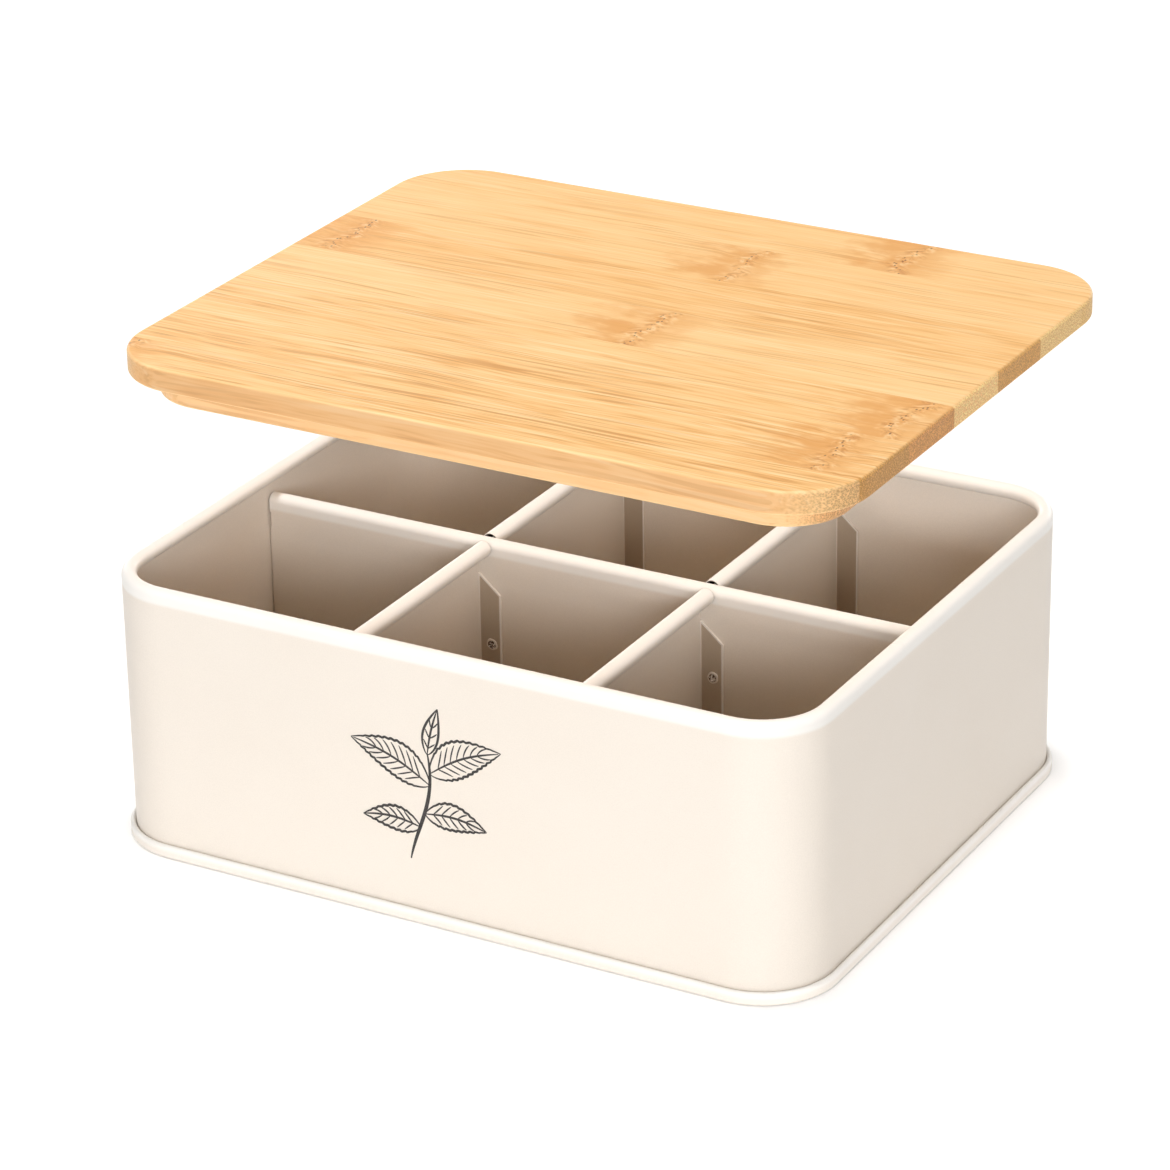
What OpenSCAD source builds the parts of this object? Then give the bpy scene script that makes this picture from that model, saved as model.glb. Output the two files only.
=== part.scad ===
// Tea bag organizer box: a painted sheet-steel box with six compartments and a loose bamboo lid,
// which hangs lifted above the box. Millimetres, +Z up, the front faces -Y.
// The origin is the middle of the foot that the box stands on.

/* [Box] */
// Width of the steel wall, outside
box_w = 210; // [190:1:240]
// Depth of the steel wall, outside
box_d = 170; // [150:1:200]
// Height from the foot to the top of the rim
box_h = 79; // [60:1:110]
// Outer corner radius of the wall
corner_r = 20; // [14:1:30]
// Thickness of the steel sheet
sheet_t = 0.5; // [0.4:0.05:0.6]

/* [Rim bead] */
// Diameter of the hollow bead curled along the top of the wall
rim_bead_d = 4.2; // [3.4:0.1:6]
// Slit left between the end of a bead's curl and the sheet that it springs from
curl_slit = 0.4; // [0.2:0.05:0.8]

/* [Bottom seam] */
// Height of the folded seam round the foot
seam_h = 3.8; // [3.6:0.1:6]
// Play between two layers of the seam
seam_play = 0.05; // [0.02:0.01:0.1]
// Outer radius of the bends in the bottom's edge
pan_bend_r = 0.9; // [0.7:0.05:1]
// Height of the recessed bottom panel above the foot
pan_recess = 3; // [2:0.1:5]

/* [Dividers] */
// Drop from the top of the rim to the top of the dividers
divider_drop = 8.5; // [8:0.5:16]
// Diameter of the hollow bead along a divider
divider_bead_d = 4.6; // [3.6:0.1:6]
// Place of the long divider's sheet, forward or back of the middle
row_split = 0; // [-15:0.5:15]
// Distance between the two cross dividers of a row
column_pitch = 69; // [50:1:80]
// Sideways place of the front pair of cross dividers
front_pair_x = -1.3; // [-8:0.1:8]
// Sideways place of the back pair of cross dividers
back_pair_x = -2.5; // [-8:0.1:8]
// Width of the flange at each end of a divider
flange_w = 7.2; // [5:0.1:12]
// Gap from the underside of the bead down to the top of the flanges
flange_gap = 5.2; // [2:0.1:10]
// Height of the cut corner of a flange
flange_cut = 5.9; // [2:0.1:10]
// Outer radius of the bend between a divider and its flange
bend_r = 1; // [0.8:0.1:1.6]
// Gap between a divider's bead and the sheets and beads that it runs up to
bead_end_gap = 0.6; // [0.3:0.1:3]

/* [Lid] */
// Distance that the lid board stands out past the wall, all round
lid_overhang = 1.5; // [0.5:0.1:4]
// Thickness of the lid board
lid_t = 6.5; // [5:0.5:12]
// Thickness of the locating board under the lid board
locator_t = 6.5; // [4:0.5:7.5]
// Play between the locating board and the rim bead, all round
locator_play = 1.5; // [1.2:0.1:3]
// Extra corner radius of the locating board
locator_ease = 2.5; // [0:0.5:4]
// Rounding of the edges of both boards
edge_round = 1; // [0.4:0.1:1.8]
// Width of the bamboo strips that the boards are glued from
strip_w = 26.4; // [20:0.1:27]
// Place of the lid board's glue joint nearest the middle
lid_joint_y = 9.2; // [-2:0.1:10]
// Place of the locating board's glue joint nearest the middle
locator_joint_y = -4; // [-10:0.1:10]

/* [Lifted lid] */
// Height that the lid hangs above its seat
lid_lift = 58; // [10:1:120]
// Sideways distance that the lid hangs from its seat
lid_aside = 8; // [0:0.5:12]

/* [Hidden] */
$fn = 96;

steel_colour = [0.98, 0.94, 0.89];
bamboo_colour = [0.96, 0.78, 0.5];
locator_colour = [0.93, 0.75, 0.52];

// Rim bead and seam, measured outwards from the wall's outer face
rim_bead_r = rim_bead_d / 2;
rim_bead_z = box_h - rim_bead_r;
hook_in_x = 2 * seam_play + sheet_t;
cover_in_x = hook_in_x + sheet_t + seam_play;
seam_out = cover_in_x + sheet_t;
wall_bend_x = hook_in_x / 2;
wall_bend_r = wall_bend_x + sheet_t;
wall_bend_z = sheet_t + seam_play + wall_bend_r;
pan_wall_x = -(2 * sheet_t + seam_play);
panel_x = pan_wall_x + sheet_t - pan_bend_r;
fold_x = (seam_play + seam_out) / 2;
fold_r = (seam_out - seam_play) / 2;
fold_z = seam_h - fold_r;

// Dividers
divider_bead_r = divider_bead_d / 2;
divider_bead_z = box_h - divider_drop - divider_bead_r;
web_top_z = divider_bead_z - divider_bead_r - bead_end_gap;
floor_z = pan_recess + sheet_t;
flange_top_z = divider_bead_z - divider_bead_r - flange_gap;
long_front_y = row_split - sheet_t / 2;
long_back_y = row_split + sheet_t / 2;
inner_w = box_w - 2 * sheet_t;
inner_d = box_d - 2 * sheet_t;

// Lid
lid_w = box_w + 2 * lid_overhang;
lid_d = box_d + 2 * lid_overhang;
lid_r = corner_r + lid_overhang;
lid_strips = 7;
locator_inset = rim_bead_d + locator_play;
locator_w = box_w - 2 * locator_inset;
locator_d = box_d - 2 * locator_inset;
locator_r = corner_r - locator_inset + locator_ease;
locator_strips = 6;

// Flat rounded rectangle
module plate_outline(w, d, r) {
  square([w - 2 * r, d], center = true);
  square([w, d - 2 * r], center = true);
  for (x = [-1, 1], y = [-1, 1])
    translate([x * (w / 2 - r), y * (d / 2 - r)]) circle(r);
}

// Runs a profile round a rounded rectangle; the profile's x is the distance out of the outline
module run_round(w, d, r) {
  for (turn = [0, 180]) rotate(turn) {
    translate([w / 2 - r, d / 2 - r]) rotate_extrude(angle = 90) translate([r, 0]) children();
    translate([r - w / 2, d / 2 - r]) rotate(90) rotate_extrude(angle = 90) translate([r, 0]) children();
    translate([w / 2, d / 2 - r, 0]) rotate([90, 0, 0]) linear_extrude(d - 2 * r) children();
    rotate(90) translate([d / 2, w / 2 - r, 0]) rotate([90, 0, 0]) linear_extrude(w - 2 * r) children();
  }
}

// Part of a ring of sheet: the ring's quarters named by their signs in x and y
module ring_part(r, quarters) {
  intersection() {
    difference() {
      circle(r);
      circle(r - sheet_t);
    }
    for (q = quarters) translate([min(q[0], 0) * r, min(q[1], 0) * r]) square(r);
  }
}

// Hollow bead; the sheet comes up to it on the right, and the slit is just inside the sheet
module bead_outline(r) {
  slit_angle = acos((r - sheet_t - curl_slit) / r);
  difference() {
    circle(r);
    circle(r - sheet_t);
    polygon([[0, 0], [2 * r, 0], [2 * r, -2 * r * tan(slit_angle)]]);
  }
}

// Wall section: bead on top, sheet, and the flange folded up inside the seam
module wall_profile() {
  translate([-rim_bead_r, rim_bead_z]) bead_outline(rim_bead_r);
  translate([-sheet_t, wall_bend_z]) square([sheet_t, rim_bead_z - wall_bend_z]);
  translate([wall_bend_x, wall_bend_z]) ring_part(wall_bend_r, [[-1, -1], [1, -1]]);
  translate([hook_in_x, wall_bend_z]) square([sheet_t, fold_z - seam_play - wall_bend_z]);
}

// Section of the bottom's edge: down inside the wall, under it, up outside and folded over the flange
module pan_edge_profile() {
  translate([panel_x, floor_z - pan_bend_r]) ring_part(pan_bend_r, [[1, 1]]);
  translate([pan_wall_x, pan_bend_r]) square([sheet_t, floor_z - 2 * pan_bend_r]);
  translate([pan_wall_x + pan_bend_r, pan_bend_r]) ring_part(pan_bend_r, [[-1, -1]]);
  translate([pan_wall_x + pan_bend_r, 0]) square([seam_out - pan_wall_x - 2 * pan_bend_r, sheet_t]);
  translate([seam_out - pan_bend_r, pan_bend_r]) ring_part(pan_bend_r, [[1, -1]]);
  translate([cover_in_x, pan_bend_r]) square([sheet_t, fold_z - pan_bend_r]);
  translate([fold_x, fold_z]) ring_part(fold_r, [[-1, 1], [1, 1]]);
  translate([seam_play, wall_bend_z + seam_play]) square([sheet_t, fold_z - wall_bend_z - seam_play]);
}

module wall_band() {
  color(steel_colour) run_round(box_w, box_d, corner_r) wall_profile();
}

module base_pan() {
  color(steel_colour) {
    run_round(box_w, box_d, corner_r) pan_edge_profile();
    translate([0, 0, pan_recess]) linear_extrude(sheet_t)
      plate_outline(box_w + 2 * panel_x, box_d + 2 * panel_x, corner_r + panel_x);
  }
}

// Plan of a divider's sheet, along +Y, with both flanges bent to +X
module divider_plan(span) {
  translate([0, bend_r]) square([sheet_t, span - 2 * bend_r]);
  translate([bend_r, bend_r]) ring_part(bend_r, [[-1, -1]]);
  translate([bend_r, span - bend_r]) ring_part(bend_r, [[-1, 1]]);
  for (y = [0, span - sheet_t]) translate([bend_r, y]) square([flange_w - bend_r, sheet_t]);
}

// A divider along +Y: the sheet's left face is at x = 0, and its bead and flanges turn to +X
module divider(span, near_gap = bead_end_gap, far_gap = bead_end_gap) {
  bead_l = span - near_gap - far_gap;
  difference() {
    translate([0, 0, floor_z]) linear_extrude(flange_top_z - floor_z) divider_plan(span);
    translate([0, span + 1, flange_top_z]) rotate([90, 0, 0]) linear_extrude(span + 2)
      polygon([[sheet_t, 0], [2 * flange_w - sheet_t, -2 * flange_cut], [2 * flange_w, 1], [sheet_t, 1]]);
  }
  translate([0, bend_r, floor_z]) cube([sheet_t, span - 2 * bend_r, web_top_z - floor_z]);
  translate([0, near_gap, web_top_z]) cube([sheet_t, bead_l, divider_bead_z - web_top_z]);
  translate([divider_bead_r, near_gap + bead_l, divider_bead_z]) rotate([90, 0, 0])
    linear_extrude(bead_l) mirror([1, 0]) bead_outline(divider_bead_r);
}

module long_divider() {
  color(steel_colour) translate([inner_w / 2, long_front_y, 0]) rotate(90) divider(inner_w);
}

// Cross dividers: side is -1 for the left one of a pair and 1 for the right one
module front_divider(side) {
  color(steel_colour)
    translate([front_pair_x + side * column_pitch / 2 - sheet_t / 2, -inner_d / 2, 0])
      divider(long_front_y + inner_d / 2);
}

module back_divider(side) {
  color(steel_colour)
    translate([back_pair_x + side * column_pitch / 2 - sheet_t / 2, long_back_y, 0])
      divider(inner_d / 2 - long_back_y, near_gap = divider_bead_d - sheet_t + bead_end_gap);
}

// Board with rounded edges and corners, its underside at z = 0
module board(w, d, r, h) {
  linear_extrude(h) plate_outline(w - 2 * edge_round, d - 2 * edge_round, r - edge_round);
  run_round(w, d, r) {
    translate([-edge_round, edge_round]) square([edge_round, h - 2 * edge_round]);
    for (z = [edge_round, h - edge_round]) intersection() {
      translate([-edge_round, z]) circle(edge_round);
      translate([-edge_round, 0]) square([edge_round, h]);
    }
  }
}

// One of count strips of a board, numbered from the front, between two glue joints or a joint and an edge
module strip_of(w, d, h, count, i, middle_joint_y) {
  joint_y = middle_joint_y + (i - ceil(count / 2)) * strip_w;
  front_y = i == 1 ? -d : joint_y - strip_w;
  back_y = i == count ? d : joint_y;
  intersection() {
    children();
    translate([-w, front_y, -h]) cube([2 * w, back_y - front_y, 3 * h]);
  }
}

module lid_strip(i) {
  color(bamboo_colour * (i % 2 == 0 ? 1 : 0.94))
    translate([lid_aside, 0, box_h + lid_lift])
      strip_of(lid_w, lid_d, lid_t, lid_strips, i, lid_joint_y) board(lid_w, lid_d, lid_r, lid_t);
}

module locator_strip(i) {
  color(locator_colour * (i % 2 == 0 ? 1 : 0.94))
    translate([lid_aside, 0, box_h + lid_lift - locator_t])
      strip_of(locator_w, locator_d, locator_t, locator_strips, i, locator_joint_y)
        board(locator_w, locator_d, locator_r, locator_t);
}

wall_band();
base_pan();
long_divider();
front_divider(-1);  // divider_front_left
front_divider(1);  // divider_front_right
back_divider(-1);  // divider_back_left
back_divider(1);  // divider_back_right
for (i = [1 : lid_strips]) lid_strip(i);
for (i = [1 : locator_strips]) locator_strip(i);
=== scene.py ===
"""Looks of the tea bag organizer box: satin cream paint, bamboo boards, a printed leaf sprig and spot welds."""
import math
import random

import bmesh
import bpy
from mathutils import Matrix, Vector


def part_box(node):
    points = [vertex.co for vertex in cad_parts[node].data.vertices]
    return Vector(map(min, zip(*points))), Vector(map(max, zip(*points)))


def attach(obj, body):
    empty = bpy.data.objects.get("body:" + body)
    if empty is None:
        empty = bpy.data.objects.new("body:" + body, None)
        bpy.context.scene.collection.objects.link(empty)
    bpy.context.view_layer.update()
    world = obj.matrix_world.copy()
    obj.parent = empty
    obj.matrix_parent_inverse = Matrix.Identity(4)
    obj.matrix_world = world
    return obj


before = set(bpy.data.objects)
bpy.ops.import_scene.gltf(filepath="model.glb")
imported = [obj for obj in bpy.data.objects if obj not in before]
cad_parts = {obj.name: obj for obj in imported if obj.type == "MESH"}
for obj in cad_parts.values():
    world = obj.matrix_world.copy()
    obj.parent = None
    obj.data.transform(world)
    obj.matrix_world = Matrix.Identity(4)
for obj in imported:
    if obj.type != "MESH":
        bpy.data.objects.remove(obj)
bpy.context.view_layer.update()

MM = 0.001

# Camera of the photograph, in millimetres, degrees and pixels
PHOTO_SIDE = 1170
FOCAL_LENGTH_PX = 4602.6
SENSOR_WIDTH = 36.0
CAMERA_PLACE = (560.2, -991.7, 578.3)
CAMERA_YAW = 29.569
CAMERA_PITCH = 24.301
CAMERA_ROLL = -0.988

# Colours as they look in plain light, sRGB from 0 to 255
PAINT = (243, 234, 223)
# Painted highlight on the rolled edges and along the flanges' edges
PAINT_HIGHLIGHT = (253, 250, 245)
INK = (36, 32, 30)
# Painted shade inside the dividers' bead bores
BORE_SHADE = (52, 40, 34)
# Painted shade at the bottom of the weld dents
WELD_SHADE = (92, 66, 50)
FLOOR = (250, 249, 248)
BAMBOO_PALE = (252, 207, 144)
BAMBOO_MID = (248, 197, 130)
BAMBOO_DEEP = (238, 179, 105)
BAMBOO_BROWN = (212, 150, 78)
NODE_TINT = (226, 158, 80)
NODE_BROWN = (196, 128, 58)
STROKE_PALE = (255, 224, 172)
PIT_BROWN = (112, 66, 26)
EDGE_PLAIN = (246, 202, 146)
LID_EDGE_TINT = (0.86, 0.82, 0.84)
LOCATOR_EDGE_TINT = (0.88, 0.9, 1.0)
DOT_SHADE = (0.79, 0.7, 0.6)

# Specular levels of the paint and of the lacquered bamboo
PAINT_GLOSS = 0.12
BAMBOO_GLOSS = 0.3

# The paint's clouds, orange peel, grain and specks: their sizes in millimetres, and the tint of the clouds
CLOUD_SIZE = 35
PEEL_SIZE = 1.6
GRAIN_SIZE = 0.35
SPECK_PITCH = 9
CLOUD_TINT = (0.965, 0.95, 0.935)
# Painted shade inside the box, darker low down: the colour is multiplied by these factors at the lower height and
# below it, on the long divider, the cross dividers and the wall, and the shade is browner by these powers of green
# and blue
LOW_SHADE = 0.6
CROSS_LOW_SHADE = 0.78
INNER_LOW_SHADE = 0.8
SHADE_HEIGHTS = (20.0, 58.0)
SHADE_BROWNING = (1.2, 1.45)
# Painted shade on the flanges of the cross dividers: the factor their colour is multiplied by
FLANGE_SHADE = 0.6

# Streaks in the bamboo: length and width of a fibre bundle, detail of the noise, and depth
BANDS = (150.0, 5.0, 2.0, 6.0)
LINES = (36.0, 1.1, 1.5, 1.8)
THREADS = (15.0, 0.55, 1.0, 0.7)
HAIRS = (48.0, 0.7, 0.0, 1.4)
GLINTS = (45.0, 0.9, 0.0, 1.6)
END_DOT_PITCH = 0.5
# Pitch of the pits along and across a culm node
PIT_PITCH = (1.3, 1.9)
# A strip without a culm node has one this far off
FAR_OFF = 1000.0

# Tone of each strip, from deep (0) to pale (1), the strength of its streaks,
# and the x of the culm node that crosses it, if it has one
STRIPS = {
    "lid_strip_1": (0.48, 1.1, -104.0),
    "lid_strip_2": (0.47, 1.1, 92.5),
    "lid_strip_3": (0.54, 1.0, 99.0),
    "lid_strip_4": (0.68, 0.85, 12.0),
    "lid_strip_5": (0.42, 0.75, -95.0),
    "lid_strip_6": (0.6, 0.65, 12.5),
    "lid_strip_7": (0.57, 0.65, 50.5),
    "locator_strip_1": (0.62, 1.0, None),
    "locator_strip_2": (0.5, 1.0, 40.0),
    "locator_strip_3": (0.6, 1.0, -62.0),
    "locator_strip_4": (0.4, 1.0, None),
    "locator_strip_5": (0.62, 1.0, 5.0),
    "locator_strip_6": (0.5, 1.0, -20.0),
}
# Colour of each strip's end grain
END_GRAIN = {
    "lid_strip_1": (202, 162, 110), "lid_strip_2": (186, 138, 74), "lid_strip_3": (198, 142, 80),
    "lid_strip_4": (255, 194, 130), "lid_strip_5": (198, 148, 80), "lid_strip_6": (240, 190, 126),
    "lid_strip_7": (234, 184, 118),
}
PLAIN_END = (194, 152, 104)

# The steel wall: half lengths of its flat sides, corner radius, and where its rim
# and the dividers' beads begin
WALL_FLAT_X = 85.0
WALL_FLAT_Y = 65.0
WALL_CORNER_R = 20.0
RIM_Z = 74.8
BEAD_Z = 65.9
# The dividers' beads and flanges: the bead's radius, the height of its middle,
# and the height and slope of the flange's cut corner
BEAD_R = 2.3
BEAD_MIDDLE_Z = 68.2
FLANGE_CORNER_Z = 54.8
FLANGE_SLOPE = 0.88

# The print on the front wall: its middle, and how far its ink stands off the paint
WALL_FRONT_Y = -85.0
PRINT_MIDDLE = (-2.7, 40.6)
INK_LIFT = 0.03
INK_STEP = 0.0015
# How far the back of the ink reaches into the wall, which closes it there
INK_ROOT = 0.02
# Half widths of its strokes, and the pitch of the teeth on the leaves
STEM_INK = 0.55
EDGE_INK = 0.36
MIDRIB_INK = 0.31
VEIN_INK = 0.21
LEAF_TOOTH_PITCH = 1.75
STEM = ((-5.2, -22.5), (-3.0, -12.0), (3.4, -4.0), (0.7, 9.5))
# Base, tip, widest reaches left and right, number of side veins, bow and height of the teeth
LEAVES = [
    ((0.7, 9.0), (4.2, 22.8), (2.4, 2.7), 3, 0.03, 0.0),
    ((1.3, 3.6), (22.8, 14.2), (5.8, 5.2), 7, 0.06, 0.17),
    ((1.2, 0.2), (-22.4, 9.2), (5.2, 5.9), 7, -0.06, 0.17),
    ((-0.4, -8.4), (18.0, -9.6), (4.2, 4.1), 5, 0.07, 0.15),
    ((-2.0, -12.6), (-19.4, -12.6), (4.0, 3.6), 5, -0.07, 0.15),
]

# Spot welds on the dividers' flanges
WELD_RADIUS = 1.7
WELD_POINTS = 32
# Outline of a weld mark from its middle to its rim, as shares of the radius and heights,
# and how many of its rows, at the bottom of the dent, carry painted shade
WELD_PROFILE = [
    (0.0, 0.02), (0.3, 0.03), (0.55, 0.1), (0.7, 0.3), (0.82, 0.36), (0.93, 0.2),
    (1.0, 0.0), (0.94, -0.12), (0.0, -0.12),
]
SHADED_ROWS = 3
# x, y, outward axis and sign, and heights above the foot
SPOT_WELDS = [
    (-31.85, -0.75, "y", -1, (39.7, 15.0)), (37.1, -0.75, "y", -1, (44.5, 17.0)),
    (-31.85, -84.0, "y", 1, (40.0, 15.0)), (37.15, -84.0, "y", 1, (41.0, 14.0)),
    (-33.05, 0.75, "y", 1, (41.5, 16.0)), (35.95, 0.75, "y", 1, (40.0, 15.0)),
    (-33.05, 84.0, "y", -1, (26.0, 12.0)), (35.95, 84.0, "y", -1, (25.0, 12.0)),
    (104.0, 3.95, "x", -1, (40.0, 15.0)), (-104.0, 3.95, "x", 1, (41.0, 16.0)),
]

# Lamps: azimuth from the front towards the right and elevation in degrees,
# distance, width and height in metres, and power in watts
LAMP_AIM = (0.0, 0.0, 0.06)
LAMPS = [
    ("top", 0, 90, 2.5, 0.5, 0.5, 8.0),
    ("top_edges", 0, 90, 2.5, 0.5, 0.5, 29.0),
    ("front", 0, 8, 1.6, 0.9, 0.2, 5.2),
    ("front_right", 34, 16, 1.6, 0.9, 0.35, 8.9),
    ("right", 75, 35, 1.6, 0.9, 0.35, 1.5),
    ("back", 175, 10, 1.6, 0.9, 0.35, 4.0),
    ("back_left", -130, 10, 1.6, 0.9, 0.35, 4.5),
    ("left_edges", -90, 30, 1.8, 0.9, 0.6, 8.2),
    ("seam", 65, 30, 1.6, 0.9, 0.35, 4.6),
]
WORLD_LIGHT = 0.13
# The photograph shows no shadow of the lid on the box, so these lamps shine past it
PAST_LID = ("top", "top_edges", "left_edges", "right")
# It shows white rims and beads above dark compartments, and a dull front left corner,
# so these lamps leave out some pieces or shine on one only
CROSS_DIVIDERS = ("divider_front_left", "divider_front_right", "divider_back_left", "divider_back_right")
LEAVES_OUT = {"top_edges": ("base_pan",), "left_edges": ("wall_band", "long_divider") + CROSS_DIVIDERS}
SHINES_ON = {"seam": "base_pan"}
# Glow of the floor in the camera's eyes near the box, and the distances in which it rises to white
FLOOR_GLOW = 0.15
GLOW_REACH = (0.3, 1.5)
FLOOR_SIDE = 12


def linear(colour):
    """sRGB from 0 to 255 as the linear RGBA that Blender's sockets hold."""
    parts = [c / 255 for c in colour]
    return tuple(p / 12.92 if p <= 0.04045 else ((p + 0.055) / 1.055) ** 2.4 for p in parts) + (1.0,)


class Graph:
    """Adds nodes to a material; an input is a number, a tuple or another node's output."""

    def __init__(self, name):
        self.material = bpy.data.materials.new(name)
        self.material.use_nodes = True
        self.tree = self.material.node_tree
        self.shader = self.tree.nodes["Principled BSDF"]

    def feed(self, socket, value):
        if isinstance(value, bpy.types.NodeSocket):
            self.tree.links.new(value, socket)
        else:
            socket.default_value = value

    def node(self, kind, settings=None, inputs=None):
        made = self.tree.nodes.new("ShaderNode" + kind)
        for name, value in (settings or {}).items():
            setattr(made, name, value)
        for name, value in (inputs or {}).items():
            self.feed(made.inputs[name], value)
        return made

    def math(self, operation, *values):
        made = self.node("Math", {"operation": operation})
        for socket, value in zip(made.inputs, values):
            self.feed(socket, value)
        return made.outputs[0]

    def times(self, *values):
        """Product of two or more values."""
        total = values[0]
        for value in values[1:]:
            total = self.math("MULTIPLY", total, value)
        return total

    def total(self, *values):
        """Sum of two or more values."""
        total = values[0]
        for value in values[1:]:
            total = self.math("ADD", total, value)
        return total

    def length(self, a, b):
        """Length of a line with these two sides."""
        return self.math("SQRT", self.math("ADD", self.math("POWER", a, 2.0), self.math("POWER", b, 2.0)))

    def vector_math(self, operation, a, b):
        made = self.node("VectorMath", {"operation": operation})
        self.feed(made.inputs[0], a)
        self.feed(made.inputs["Scale" if operation == "SCALE" else 1], b)
        return made.outputs[0]

    def noise(self, vector, detail=2.0, roughness=0.5):
        """Noise of about 0 to 1 with a feature size of one unit of the vector."""
        made = self.node("TexNoise", inputs={
            "Vector": vector, "Scale": 1.0, "Detail": detail, "Roughness": roughness,
        })
        return self.spread(made.outputs[0], 0.28, 0.72)

    def spread(self, value, low, high, to_low=0.0, to_high=1.0, smooth=False):
        """Maps the range low to high onto to_low to to_high."""
        made = self.node("MapRange", {"interpolation_type": "SMOOTHSTEP" if smooth else "LINEAR"}, {
            "Value": value, "From Min": low, "From Max": high, "To Min": to_low, "To Max": to_high,
        })
        return made.outputs[0]

    def ramp(self, value, stops):
        made = self.node("ValToRGB", inputs={"Fac": value})
        points = made.color_ramp.elements
        while len(points) < len(stops):
            points.new(0.5)
        for point, (place, colour) in zip(points, stops):
            point.position = place
            point.color = linear(colour)
        return made.outputs[0]

    def mix(self, factor, a, b, blend="MIX"):
        made = self.node("Mix", {"data_type": "RGBA", "blend_type": blend})
        self.feed(made.inputs[0], factor)
        self.feed(made.inputs[6], a)
        self.feed(made.inputs[7], b)
        return made.outputs[2]

    def combine(self, x, y, z):
        return self.node("CombineXYZ", inputs={"X": x, "Y": y, "Z": z}).outputs[0]

    def bump(self, height, distance, normal=None):
        made = self.node("Bump", inputs={"Height": height, "Distance": distance})
        if normal:
            self.feed(made.inputs["Normal"], normal)
        return made.outputs[0]

    def set(self, **values):
        for name, value in values.items():
            self.feed(self.shader.inputs[name.replace("_", " ")], value)
        return self.material

    def place_mm(self):
        """Object coordinates in millimetres."""
        place = self.node("TexCoord").outputs["Object"]
        return self.vector_math("SCALE", place, 1 / MM)

    def facing(self):
        """X, Y and Z of the surface's normal."""
        return self.axes(self.node("TexCoord").outputs["Normal"])

    def axes(self, vector):
        return self.node("SeparateXYZ", inputs={"Vector": vector}).outputs

    def sized_noise(self, vector, sizes, detail=2.0):
        """Noise whose features have these sizes along X, Y and Z."""
        return self.noise(self.vector_math("MULTIPLY", vector, tuple(1 / size for size in sizes)), detail)


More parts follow.
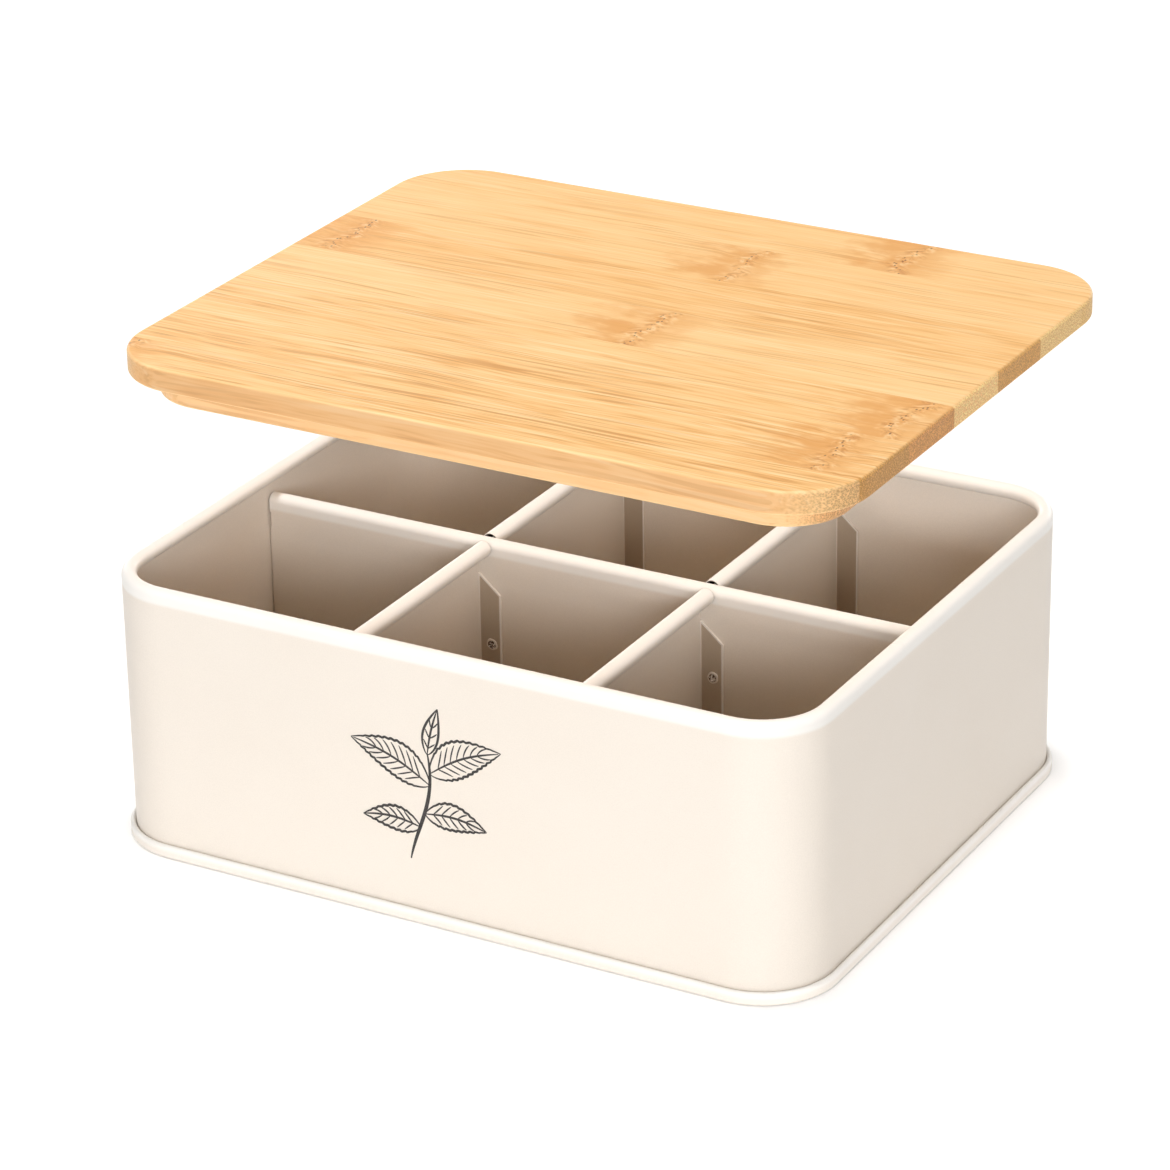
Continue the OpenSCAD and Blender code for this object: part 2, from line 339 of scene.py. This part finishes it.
def cream_paint(name, edge_z=None, low_shade=1.0, cross_sheet=None, inside_shade=1.0):
    """Satin powder paint on steel: orange peel, a fine grain, slight clouding and a few specks.

    Rolled edges carry a painted highlight and are smoother: those above edge_z, or without it what stands outside
    the wall.
    low_shade multiplies the colour near the bottom as painted shade, and inside_shade does so on the inner side of
    the wall.
    cross_sheet, the range of x of a cross divider, gives its flanges painted shade with a painted highlight along
    their edges, and painted shade in the bore of its bead.
    """
    g = Graph(name)
    mm = g.place_mm()
    axes = g.axes(mm)
    clouds = g.noise(g.vector_math("SCALE", mm, 1 / CLOUD_SIZE), detail=3.0)
    peel = g.noise(g.vector_math("SCALE", mm, 1 / PEEL_SIZE), detail=2.0)
    grain = g.noise(g.vector_math("SCALE", mm, 1 / GRAIN_SIZE), detail=1.0)
    # Distance from the line that the wall's corners are bent round
    outward = g.length(*(
        g.math("MAXIMUM", g.math("SUBTRACT", g.math("ABSOLUTE", axes[axis]), flat), 0.0)
        for axis, flat in (("X", WALL_FLAT_X), ("Y", WALL_FLAT_Y))
    ))
    if edge_z is None:
        edge = g.spread(outward, WALL_CORNER_R - 0.8, WALL_CORNER_R - 0.3, smooth=True)
        edge = g.times(edge, g.spread(axes["Z"], 1.6, 3.2, 0.3, 1.0, smooth=True))
    else:
        edge = g.spread(axes["Z"], edge_z - 0.4, edge_z + 0.8, smooth=True)
    # Painted highlight on the rolled edges
    edge_highlight = g.times(edge, g.spread(clouds, 0.0, 1.0, 1.0, 0.8))

    paint = linear(PAINT)
    dull = tuple(c * f for c, f in zip(paint[:3], CLOUD_TINT)) + (1.0,)
    colour = g.mix(g.times(clouds, 0.4), paint, dull)
    speck = g.spread(grain, 0.0, 1.0, 0.975, 1.015)
    colour = g.mix(1.0, colour, g.combine(speck, speck, speck), "MULTIPLY")
    # Painted shade inside the box: the colour darkens low down
    if inside_shade < 1.0:
        inside = g.spread(outward, WALL_CORNER_R - 0.4, WALL_CORNER_R - 0.2, 1.0, 0.0)
        shade_loss = g.spread(axes["Z"], *SHADE_HEIGHTS, 1.0 - inside_shade, 0.0)
        painted_shade = g.math("SUBTRACT", 1.0, g.times(inside, shade_loss))
    else:
        painted_shade = g.spread(axes["Z"], *SHADE_HEIGHTS, low_shade, 1.0)
    if cross_sheet:
        # Painted shade on the flanges
        across = g.spread(g.math("ABSOLUTE", g.facing()["Y"]), 0.7, 0.95)
        painted_shade = g.times(painted_shade, g.spread(across, 0.0, 1.0, 1.0, FLANGE_SHADE))
        from_side = g.math("SUBTRACT", cross_sheet[1], axes["X"])
        cut = g.math("MULTIPLY_ADD", from_side, FLANGE_SLOPE, FLANGE_CORNER_Z)
        from_cut = g.times(g.math("SUBTRACT", cut, axes["Z"]), 0.8)
        # Painted highlight along the flanges' edges
        margin = g.spread(g.math("MINIMUM", from_side, from_cut), 0.35, 0.6, 1.0, 0.0)
        edge_highlight = g.math("MAXIMUM", edge_highlight, g.times(margin, across, 0.75))
    painted_shade_rgb = g.combine(painted_shade, *(g.math("POWER", painted_shade, power) for power in SHADE_BROWNING))
    colour = g.mix(1.0, colour, painted_shade_rgb, "MULTIPLY")
    # The painted highlight is mixed in here
    colour = g.mix(edge_highlight, colour, linear(PAINT_HIGHLIGHT))
    # Painted shade inside the bore of the bead
    if cross_sheet:
        aside = g.math("SUBTRACT", axes["X"], cross_sheet[0] + BEAD_R)
        above = g.math("SUBTRACT", axes["Z"], BEAD_MIDDLE_Z)
        bore_shade = g.spread(g.length(aside, above), BEAD_R - 0.35, BEAD_R - 0.25, 1.0, 0.0)
        colour = g.mix(bore_shade, colour, linear(BORE_SHADE))

    cells = g.node("TexVoronoi", inputs={"Vector": g.vector_math("SCALE", mm, 1 / SPECK_PITCH), "Scale": 1.0})
    pimple = g.spread(cells.outputs["Distance"], 0.02, 0.05, 1.0, 0.0, smooth=True)
    roughness = g.math("SUBTRACT", g.spread(clouds, 0.0, 1.0, 0.32, 0.38), g.times(edge_highlight, 0.06))
    normal = g.bump(g.math("ADD", peel, g.times(pimple, 4.0)), 0.014 * MM)
    normal = g.bump(grain, 0.004 * MM, normal)
    g.shader.inputs["Specular IOR Level"].default_value = PAINT_GLOSS
    return g.set(Base_Color=colour, Roughness=roughness, Normal=normal)


def bamboo(name, seed, tone, strength, end_colour, edge_tint, node_x, lid_x):
    """Bamboo strip along X: fibre bundles run its length as streaks and end as dots, and a culm node may cross it.

    Widths and lengths are in millimetres; node_x is measured from the middle of the lid, lid_x.
    edge_tint multiplies the linear colour on the long edges.
    """
    g = Graph(name + "_looks")
    rng = random.Random(seed)
    shift = tuple(rng.uniform(-500, 500) for _ in range(3))
    mm = g.place_mm()
    axes = g.axes(mm)
    moved = g.vector_math("ADD", mm, shift)
    from_node = g.math("SUBTRACT", axes["X"], (FAR_OFF if node_x is None else node_x) + lid_x)

    # The fibres wander as they run, and curl round the node
    wander_y = g.sized_noise(moved, (90, 16, 16))
    wander_z = g.sized_noise(moved, (60, 12, 12))
    curl = g.sized_noise(moved, (5, 3, 3), detail=1.0)
    curl_zone = g.spread(g.math("ABSOLUTE", from_node), 1.0, 16.0, 1.0, 0.0, smooth=True)
    drift = g.times(axes["X"], rng.uniform(0.004, 0.01))
    fibre_y = g.total(axes["Y"], g.times(wander_y, 2.2), g.times(curl, curl_zone, 1.8))
    fibre_z = g.total(axes["Z"], drift, g.times(wander_z, 1.2))
    fibre = g.vector_math("ADD", g.combine(axes["X"], fibre_y, fibre_z), shift)

    def streaks(length, width, detail, depth):
        return g.sized_noise(fibre, (length, width, depth), detail)

    lines = streaks(*LINES)
    threads = streaks(*THREADS)
    mottle = g.sized_noise(moved, (35, 7, 7), detail=3.0)
    layers = ((streaks(*BANDS), 0.35), (lines, 0.42), (threads, 0.46), (mottle, 0.2))
    mixed = g.total(*(g.times(layer, share) for layer, share in layers))
    middle = sum(share for _, share in layers) / 2
    level = g.math("ADD", g.times(g.math("SUBTRACT", mixed, middle), strength), tone)
    side = g.ramp(level, [(0.05, BAMBOO_BROWN), (0.28, BAMBOO_DEEP), (0.52, BAMBOO_MID), (0.85, BAMBOO_PALE)])
    hairs = g.spread(streaks(*HAIRS), 0.66, 0.88, smooth=True)
    side = g.mix(g.times(hairs, g.spread(wander_z, 0.3, 0.8), 0.85 * strength), side, linear(BAMBOO_BROWN))
    glints = g.spread(streaks(*GLINTS), 0.72, 1.0, smooth=True)
    side = g.mix(g.times(glints, 0.45 * strength), side, linear(STROKE_PALE))

    # Long edges, and a painted highlight line where they are rounded
    facing = g.facing()
    aside = g.math("ABSOLUTE", facing["Y"])
    edge_face = g.spread(aside, 0.6, 1.0, smooth=True)
    rounded_highlight = g.times(g.spread(aside, 0.12, 0.4), g.spread(aside, 0.7, 0.95, 1.0, 0.0))
    side = g.mix(g.times(edge_face, 0.45), side, linear(EDGE_PLAIN))
    side = g.mix(edge_face, side, tuple(edge_tint) + (1.0,), "MULTIPLY")
    # Painted highlight line along the rounding
    side = g.mix(g.times(rounded_highlight, 0.5), side, linear(STROKE_PALE))

    # Ends of the fibre bundles: dots on a cut across the strip
    cells = g.node("TexVoronoi", {"voronoi_dimensions": "2D"}, {
        "Vector": g.vector_math("SCALE", g.combine(fibre_y, fibre_z, 0.0), 1 / END_DOT_PITCH), "Scale": 1.0,
    })
    dots = g.spread(cells.outputs["Distance"], 0.15, 0.55, 1.0, 0.0, smooth=True)
    end_face = g.spread(g.math("ABSOLUTE", facing["X"]), 0.25, 0.95, smooth=True)
    pale_end = tuple(min(255, c * f) for c, f in zip(end_colour, (1.2, 1.2, 1.22)))
    dot_colour = tuple(c * f for c, f in zip(end_colour, DOT_SHADE))
    end = g.mix(threads, linear(end_colour), linear(pale_end))
    end = g.mix(g.times(dots, 0.65), end, linear(dot_colour))
    colour = g.mix(g.times(end_face, 0.95), side, end)

    normal = g.bump(g.math("ADD", lines, threads), 0.01 * MM)
    if node_x is not None:
        on_side = g.spread(end_face, 0.2, 0.7, 1.0, 0.0)
        colour, relief = culm_node(g, colour, moved, axes["Y"], from_node, on_side, rng.uniform(0, 100))
        normal = g.bump(relief, 0.008 * MM, normal)
    g.shader.inputs["Specular IOR Level"].default_value = BAMBOO_GLOSS
    return g.set(Base_Color=colour, Roughness=g.spread(lines, 0.0, 1.0, 0.46, 0.56), Normal=normal)


def culm_node(g, colour, moved, y, from_node, on_side, swirl_place):
    """Adds a culm node: a soft brown halo, wrinkled light and dark strokes, and a row of small pits.

    Returns the colour and the relief.
    """
    patch = g.sized_noise(moved, (9, 5, 5), detail=3.0)
    ragged = g.math("ADD", from_node, g.times(g.math("SUBTRACT", patch, 0.5), 14.0))
    halo = g.times(
        g.spread(ragged, -24.0, -3.0, smooth=True),
        g.spread(ragged, 1.0, 16.0, 1.0, 0.0, smooth=True),
        g.spread(patch, 0.1, 0.7, 0.35, 1.0),
        on_side,
        0.85,
    )
    colour = g.mix(halo, colour, linear(NODE_TINT))

    wave = g.sized_noise(moved, (30, 6, 6), detail=1.0)
    off_line = g.math("ADD", from_node, g.times(g.math("SUBTRACT", wave, 0.5), 5.0))
    how_far = g.math("ABSOLUTE", off_line)
    line = g.times(g.spread(how_far, 1.2, 5.0, 1.0, 0.0, smooth=True), on_side)
    bent = g.math("ADD", y, g.times(how_far, 0.45))
    swirl = g.combine(g.times(off_line, 1 / 2.6), g.times(bent, 1 / 1.5), swirl_place)
    wrinkle = g.noise(swirl, detail=2.0)
    dark = g.times(line, g.spread(wrinkle, 0.52, 0.85, smooth=True), 0.6)
    light = g.times(line, g.spread(wrinkle, 0.48, 0.15, smooth=True), 0.45)
    colour = g.mix(dark, colour, linear(NODE_BROWN))
    colour = g.mix(light, colour, linear(STROKE_PALE))

    cells = g.node("TexVoronoi", {"voronoi_dimensions": "2D"}, {
        "Vector": g.vector_math("MULTIPLY", moved, (1 / PIT_PITCH[0], 1 / PIT_PITCH[1], 0.0)), "Scale": 1.0,
    })
    pits = g.times(
        g.spread(cells.outputs["Distance"], 0.14, 0.27, 1.0, 0.0, smooth=True),
        g.spread(how_far, 0.6, 1.2, 1.0, 0.0),
        on_side,
        g.spread(patch, 0.3, 0.5),
    )
    colour = g.mix(g.times(pits, 0.9), colour, linear(PIT_BROWN))
    relief = g.math("SUBTRACT", g.times(line, g.math("SUBTRACT", 1.0, wrinkle)), pits)
    return colour, relief


def ink():
    """Printed ink: nearly black, with slight unevenness in its colour and gloss."""
    g = Graph("ink_looks")
    mm = g.place_mm()
    uneven = g.noise(g.vector_math("SCALE", mm, 1 / 0.7), detail=3.0)
    thin = tuple(c + 22 for c in INK)
    colour = g.mix(g.spread(uneven, 0.35, 1.0), linear(INK), linear(thin))
    normal = g.bump(uneven, 0.004 * MM)
    return g.set(Base_Color=colour, Roughness=g.spread(uneven, 0.0, 1.0, 0.4, 0.55), Normal=normal)


def dress_cad():
    """Gives every CAD node its material, and returns the long divider's."""
    paints = {
        "wall_band": cream_paint("wall_paint_looks", RIM_Z, inside_shade=INNER_LOW_SHADE),
        "long_divider": cream_paint("long_divider_paint_looks", BEAD_Z, LOW_SHADE),
        "base_pan": cream_paint("pan_paint_looks"),
    }
    for node in CROSS_DIVIDERS:
        low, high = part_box(node)
        sheet = (low.x / MM, high.x / MM)
        paints[node] = cream_paint(node + "_paint_looks", BEAD_Z, CROSS_LOW_SHADE, sheet)
    lid_low, lid_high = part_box("lid_strip_4")
    lid_x = (lid_low.x + lid_high.x) / 2 / MM
    for node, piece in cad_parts.items():
        if node in STRIPS:
            tone, strength, node_x = STRIPS[node]
            edge_tint = LID_EDGE_TINT if node.startswith("lid") else LOCATOR_EDGE_TINT
            end = END_GRAIN.get(node, PLAIN_END)
            looks = bamboo(node, node, tone, strength, end, edge_tint, node_x, lid_x)
        else:
            looks = paints[node]
        piece.data.materials.clear()
        piece.data.materials.append(looks)
    return paints["long_divider"]


def new_piece(name, mesh, material, smooth):
    """Closes a bmesh into an object of the box, with its normals outwards."""
    bmesh.ops.recalc_face_normals(mesh, faces=mesh.faces)
    data = bpy.data.meshes.new(name)
    mesh.to_mesh(data)
    mesh.free()
    data.materials.append(material)
    data.polygons.foreach_set("use_smooth", [smooth] * len(data.polygons))
    piece = bpy.data.objects.new(name, data)
    bpy.context.scene.collection.objects.link(piece)
    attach(piece, "box")
    return piece


def bezier(a, b, c, d, count):
    """count + 1 points along a cubic curve."""
    points = []
    for i in range(count + 1):
        t = i / count
        s = 1 - t
        weights = (s ** 3, 3 * s * s * t, 3 * s * t * t, t ** 3)
        points.append(tuple(sum(w * p[k] for w, p in zip(weights, (a, b, c, d))) for k in (0, 1)))
    return points


def leaf_strokes(base, tip, bellies, veins, bow, tooth):
    """Strokes of one leaf: two toothed edges, a midrib and side veins, each as (points, half width).

    bellies are the widest reaches left and right of the line from base to tip, bow bends that line,
    and tooth is the height of the teeth.
    """
    ux, uy = tip[0] - base[0], tip[1] - base[1]
    long = math.hypot(ux, uy)
    ux, uy = ux / long, uy / long

    def at(along, aside):
        aside = aside + bow * long * math.sin(math.pi * along)
        return (base[0] + ux * along * long - uy * aside, base[1] + uy * along * long + ux * aside)

    def reach(along, belly):
        return belly * math.sin(math.pi * along ** 0.8) ** 0.92 * (1 - 0.22 * along)

    strokes = []
    steps = int(long / LEAF_TOOTH_PITCH * 7)
    for belly in (bellies[0], -bellies[1]):
        edge = []
        for i in range(steps + 1):
            along = i / steps
            phase = 2 * math.pi * along * long / LEAF_TOOTH_PITCH
            tooth_zone = min(1.0, max(0.0, (along - 0.1) / 0.15), max(0.0, (0.95 - along) / 0.15))
            teeth = math.copysign(tooth, belly) * tooth_zone * (math.sin(phase) - 0.35 * math.sin(2 * phase))
            edge.append(at(along, reach(along, belly) + teeth))
        strokes.append((edge, EDGE_INK))
    strokes.append(([at(0.97 * i / 20, 0.0) for i in range(21)], MIDRIB_INK))
    for i in range(veins):
        start = 0.13 + 0.66 * i / veins
        for belly in (bellies[0], -bellies[1]):
            vein = []
            for k in range(11):
                share = k / 10
                along = start + 0.15 * share
                vein.append(at(along, reach(along, belly) * 0.8 * share ** 0.85))
            strokes.append((vein, VEIN_INK))
    return strokes


def sprig_strokes():
    """A tea sprig in line work, about 46 mm across: four leaves and a bud on a bent stem."""
    strokes = [(bezier(*STEM, 30), STEM_INK)]
    for leaf in LEAVES:
        strokes += leaf_strokes(*leaf)
    return strokes


def add_stroke(mesh, line, half_width, lift):
    """Adds one closed flat stroke, tapered at both ends, that stands lift off the front wall."""
    last = len(line) - 1
    rows = []
    for i, (x, y) in enumerate(line):
        ax, ay = line[max(i - 1, 0)]
        bx, by = line[min(i + 1, last)]
        long = math.hypot(bx - ax, by - ay)
        nx, ny = -(by - ay) / long, (bx - ax) / long
        taper = 0.2 + 0.8 * math.sin(math.pi * min(max(i / last, 0.01), 0.99)) ** 0.5
        w = half_width * taper
        row = []
        for side, y_wall in ((1, -lift), (-1, -lift), (-1, INK_ROOT), (1, INK_ROOT)):
            row.append(mesh.verts.new((
                (PRINT_MIDDLE[0] + x + side * nx * w) * MM,
                (WALL_FRONT_Y + y_wall) * MM,
                (PRINT_MIDDLE[1] + y + side * ny * w) * MM,
            )))
        rows.append(row)
    for a, b in zip(rows, rows[1:]):
        for k in range(4):
            mesh.faces.new((a[k], a[(k + 1) % 4], b[(k + 1) % 4], b[k]))
    mesh.faces.new(rows[0])
    mesh.faces.new(rows[-1])


def front_print():
    mesh = bmesh.new()
    for i, (line, half_width) in enumerate(sprig_strokes()):
        add_stroke(mesh, line, half_width, INK_LIFT + i * INK_STEP)
    new_piece("front_print", mesh, ink(), False)


def weld_dent_shade():
    """Painted shade at the bottom of a weld mark's dent."""
    g = Graph("weld_dent_shade_looks")
    patchy = g.noise(g.vector_math("SCALE", g.place_mm(), 1 / 0.5), detail=2.0)
    # Painted shade at the bottom of the dent
    colour = g.mix(g.spread(patchy, 0.45, 0.8), linear(WELD_SHADE), linear(PAINT))
    return g.set(Base_Color=colour, Roughness=0.45, Normal=g.bump(patchy, 0.05 * MM))


def weld_ring(mesh, weld, z, share, height, wobble):
    """Adds the points of one ring of a weld mark, or its middle point where share is 0."""
    x, y, axis, sign, _ = weld
    ring = []
    for k in range(WELD_POINTS if share else 1):
        a = 2 * math.pi * k / WELD_POINTS
        reach = WELD_RADIUS * share
        reach *= 1 + 0.05 * math.sin(2 * a + wobble[0]) + 0.03 * math.sin(5 * a + wobble[1])
        u, v = reach * math.cos(a), reach * math.sin(a)
        lift = height
        if height > 0:
            lift *= 1 + 0.25 * math.sin(math.atan2(v, u) + wobble[2])
        if axis == "y":
            place = (x + u, y + sign * lift, z + v)
        else:
            place = (x + sign * lift, y + u, z + v)
        ring.append(mesh.verts.new([c * MM for c in place]))
    return ring


def spot_welds(paint):
    """Dented weld marks on the flanges: a low ring round a dent with painted shade at its bottom, a little
    different each time.
    """
    rng = random.Random("spot_welds")
    mesh = bmesh.new()
    for weld in SPOT_WELDS:
        for z in weld[4]:
            wobble = [rng.uniform(0, 6.28) for _ in range(3)]
            rings = [weld_ring(mesh, weld, z, share, height, wobble) for share, height in WELD_PROFILE]
            for row, (a, b) in enumerate(zip(rings, rings[1:])):
                for k in range(WELD_POINTS):
                    n = (k + 1) % WELD_POINTS
                    if len(a) == 1:
                        corners = (a[0], b[k], b[n])
                    elif len(b) == 1:
                        corners = (a[k], a[n], b[0])
                    else:
                        corners = (a[k], a[n], b[n], b[k])
                    mesh.faces.new(corners).material_index = 1 if row < SHADED_ROWS else 0
    piece = new_piece("spot_welds", mesh, paint, True)
    piece.data.materials.append(weld_dent_shade())


def studio():
    """Pale floor, soft lamps and a white world."""
    bpy.ops.mesh.primitive_plane_add(size=FLOOR_SIDE)
    floor = bpy.context.object
    floor.name = "floor"
    g = Graph("floor_looks")
    g.set(Base_Color=linear(FLOOR), Roughness=0.9)
    g.shader.inputs["Specular IOR Level"].default_value = 0.0
    middle = g.vector_math("MULTIPLY", g.node("TexCoord").outputs["Object"], (1.0, 1.0, 0.0))
    away = g.node("VectorMath", {"operation": "LENGTH"}, {"Vector": middle}).outputs["Value"]
    shine = g.spread(away, *GLOW_REACH, FLOOR_GLOW, 1.0, smooth=True)
    shine = g.math("MULTIPLY", mirrored_or_seen(g.tree), shine)
    glow = g.node("Emission", inputs={"Color": (1, 1, 1, 1), "Strength": shine})
    both = g.node("AddShader")
    g.feed(both.inputs[0], g.shader.outputs[0])
    g.feed(both.inputs[1], glow.outputs[0])
    g.feed(g.tree.nodes["Material Output"].inputs["Surface"], both.outputs[0])
    floor.data.materials.append(g.material)

    past_lid = linked_set("past_lid", STRIPS, "EXCLUDE")

    for name, azimuth, elevation, distance, width, height, power in LAMPS:
        light = bpy.data.lights.new(name, "AREA")
        light.shape = "RECTANGLE"
        light.size = width
        light.size_y = height
        light.energy = power
        around, up = math.radians(azimuth), math.radians(elevation)
        away = Vector((math.sin(around) * math.cos(up), -math.cos(around) * math.cos(up), math.sin(up)))
        piece = bpy.data.objects.new(name, light)
        piece.location = Vector(LAMP_AIM) + away * distance
        piece.rotation_mode = "QUATERNION"
        piece.rotation_quaternion = (-away).to_track_quat("-Z", "Y")
        if name in PAST_LID:
            piece.light_linking.blocker_collection = past_lid
        if name in LEAVES_OUT:
            piece.light_linking.receiver_collection = linked_set(name, LEAVES_OUT[name], "EXCLUDE")
        if name in SHINES_ON:
            piece.light_linking.receiver_collection = linked_set(name, [SHINES_ON[name]], "INCLUDE")
        bpy.context.scene.collection.objects.link(piece)

    world = bpy.data.worlds.new("white_room")
    bpy.context.scene.world = world
    world.use_nodes = True
    tree = world.node_tree
    background = tree.nodes["Background"]
    strength = tree.nodes.new("ShaderNodeMapRange")
    strength.inputs["To Min"].default_value = WORLD_LIGHT
    strength.inputs["To Max"].default_value = 1.0
    tree.links.new(mirrored_or_seen(tree), strength.inputs["Value"])
    tree.links.new(strength.outputs[0], background.inputs["Strength"])
    background.inputs["Color"].default_value = (1.0, 1.0, 1.0, 1.0)


def linked_set(name, nodes, state):
    """Collection for light linking that includes or excludes these nodes."""
    made = bpy.data.collections.new(name)
    for node in nodes:
        made.objects.link(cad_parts[node])
    for entry in made.collection_objects:
        entry.light_linking.link_state = state
    return made


def mirrored_or_seen(tree):
    """1 for rays from the camera, and for those that gloss or glass sends on, and 0 for the light itself."""
    path = tree.nodes.new("ShaderNodeLightPath")
    total = path.outputs["Is Camera Ray"]
    for name in ("Is Glossy Ray", "Is Transmission Ray"):
        most = tree.nodes.new("ShaderNodeMath")
        most.operation = "MAXIMUM"
        tree.links.new(total, most.inputs[0])
        tree.links.new(path.outputs[name], most.inputs[1])
        total = most.outputs[0]
    return total


def photo_camera():
    data = bpy.data.cameras.new("photo_camera")
    data.sensor_width = SENSOR_WIDTH
    data.lens = FOCAL_LENGTH_PX / PHOTO_SIDE * SENSOR_WIDTH
    data.clip_start = 0.1
    data.clip_end = 60
    camera = bpy.data.objects.new("photo_camera", data)
    turn = (
        Matrix.Rotation(math.radians(CAMERA_YAW), 4, "Z")
        @ Matrix.Rotation(math.radians(90 - CAMERA_PITCH), 4, "X")
        @ Matrix.Rotation(math.radians(CAMERA_ROLL), 4, "Z")
    )
    camera.matrix_world = Matrix.Translation(Vector(CAMERA_PLACE) * MM) @ turn
    bpy.context.scene.collection.objects.link(camera)
    bpy.context.scene.camera = camera


photo_camera()
studio()
divider_paint = dress_cad()
front_print()
spot_welds(divider_paint)
bpy.context.scene.view_settings.view_transform = "Standard"

bpy.context.view_layer.update()
